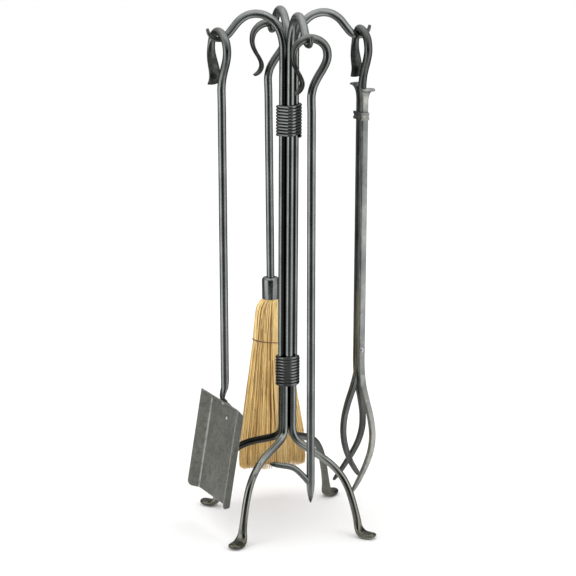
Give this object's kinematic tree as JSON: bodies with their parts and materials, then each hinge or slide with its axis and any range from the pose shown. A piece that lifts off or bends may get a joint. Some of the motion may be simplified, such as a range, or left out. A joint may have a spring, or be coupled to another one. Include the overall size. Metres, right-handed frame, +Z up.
{
  "type": "fireplace tool set",
  "caption": "Forged iron fireplace tool set: a twig-legged stand with hooks that holds a shovel, a poker, a straw brush and spring-free tongs.",
  "frame": {"origin": "on the floor, on the vertical axis of the stand, midway between the four feet", "axes": "+Z is up; +X points to the tongs' hook, -X to the shovel's, -Y (front) to the poker's and +Y (rear) to the brush's; the legs point along the diagonals"},
  "size_m": [0.2877, 0.2644, 0.8123],
  "materials": {
    "forged_stand": "satin, hand-forged and waxed",
    "binding_wire": "satin, hand-forged and waxed",
    "poker_iron": "satin, hand-forged and waxed",
    "shovel_iron": "satin, hand-forged and waxed",
    "pan_sheet": "matt sheet, mottled, with worn edges",
    "rivets": "satin, worn bright",
    "brush_iron": "satin, hand-forged and waxed",
    "ferrule": "satin, nearly black",
    "inner_wire": "drawn wire",
    "straw": "dry broomcorn straw",
    "twine": "waxed twine",
    "tongs_iron": "satin, hand-forged and waxed",
    "tongs_worn": "satin, worn lighter"
  },
  "bodies": {
    "stand": {"stand_rod_left": "forged_stand", "stand_rod_right": "forged_stand", "stand_rod_front": "forged_stand", "stand_rod_rear": "forged_stand", "upper_coil_wrap": "binding_wire", "lower_coil_wrap": "binding_wire"},
    "poker": {"poker_shaft": "poker_iron", "poker_barb": "poker_iron"},
    "shovel": {"shovel_shaft": "shovel_iron", "shovel_pan": "pan_sheet", "shovel_rivets": "rivets"},
    "brush": {"brush_shaft": "brush_iron", "brush_ferrule": "ferrule", "brush_binding_wire": "inner_wire", "brush_bristles": "straw", "brush_stitching": "twine"},
    "tongs": {"tongs_centre_bar": "tongs_iron", "tongs_pivot_rivet": "rivets"},
    "tongs_jaw": {"tongs_front_arm": "tongs_worn", "tongs_back_arm": "tongs_iron", "tongs_collar": "tongs_iron"}
  },
  "joints": [
    {"name": "poker_lift", "type": "slide", "parent": "stand", "child": "poker", "axis": [0, -0.5, 0.866], "range_m": [0, 0.12]},
    {"name": "brush_lift", "type": "slide", "parent": "stand", "child": "brush", "axis": [0, 0.5, 0.866], "range_m": [0, 0.12]},
    {"name": "shovel_lift", "type": "slide", "parent": "stand", "child": "shovel", "axis": [-0.5, 0, 0.866], "range_m": [0, 0.12]},
    {"name": "tongs_lift", "type": "slide", "parent": "stand", "child": "tongs", "axis": [0.5, 0, 0.866], "range_m": [0, 0.06]},
    {"name": "tongs_open", "type": "hinge", "parent": "tongs", "child": "tongs_jaw", "pos_m": [0.11532, -0.00347, 0.277], "axis": [0.1392, -0.9903, 0], "range_deg": [0, 11]}
  ]
}
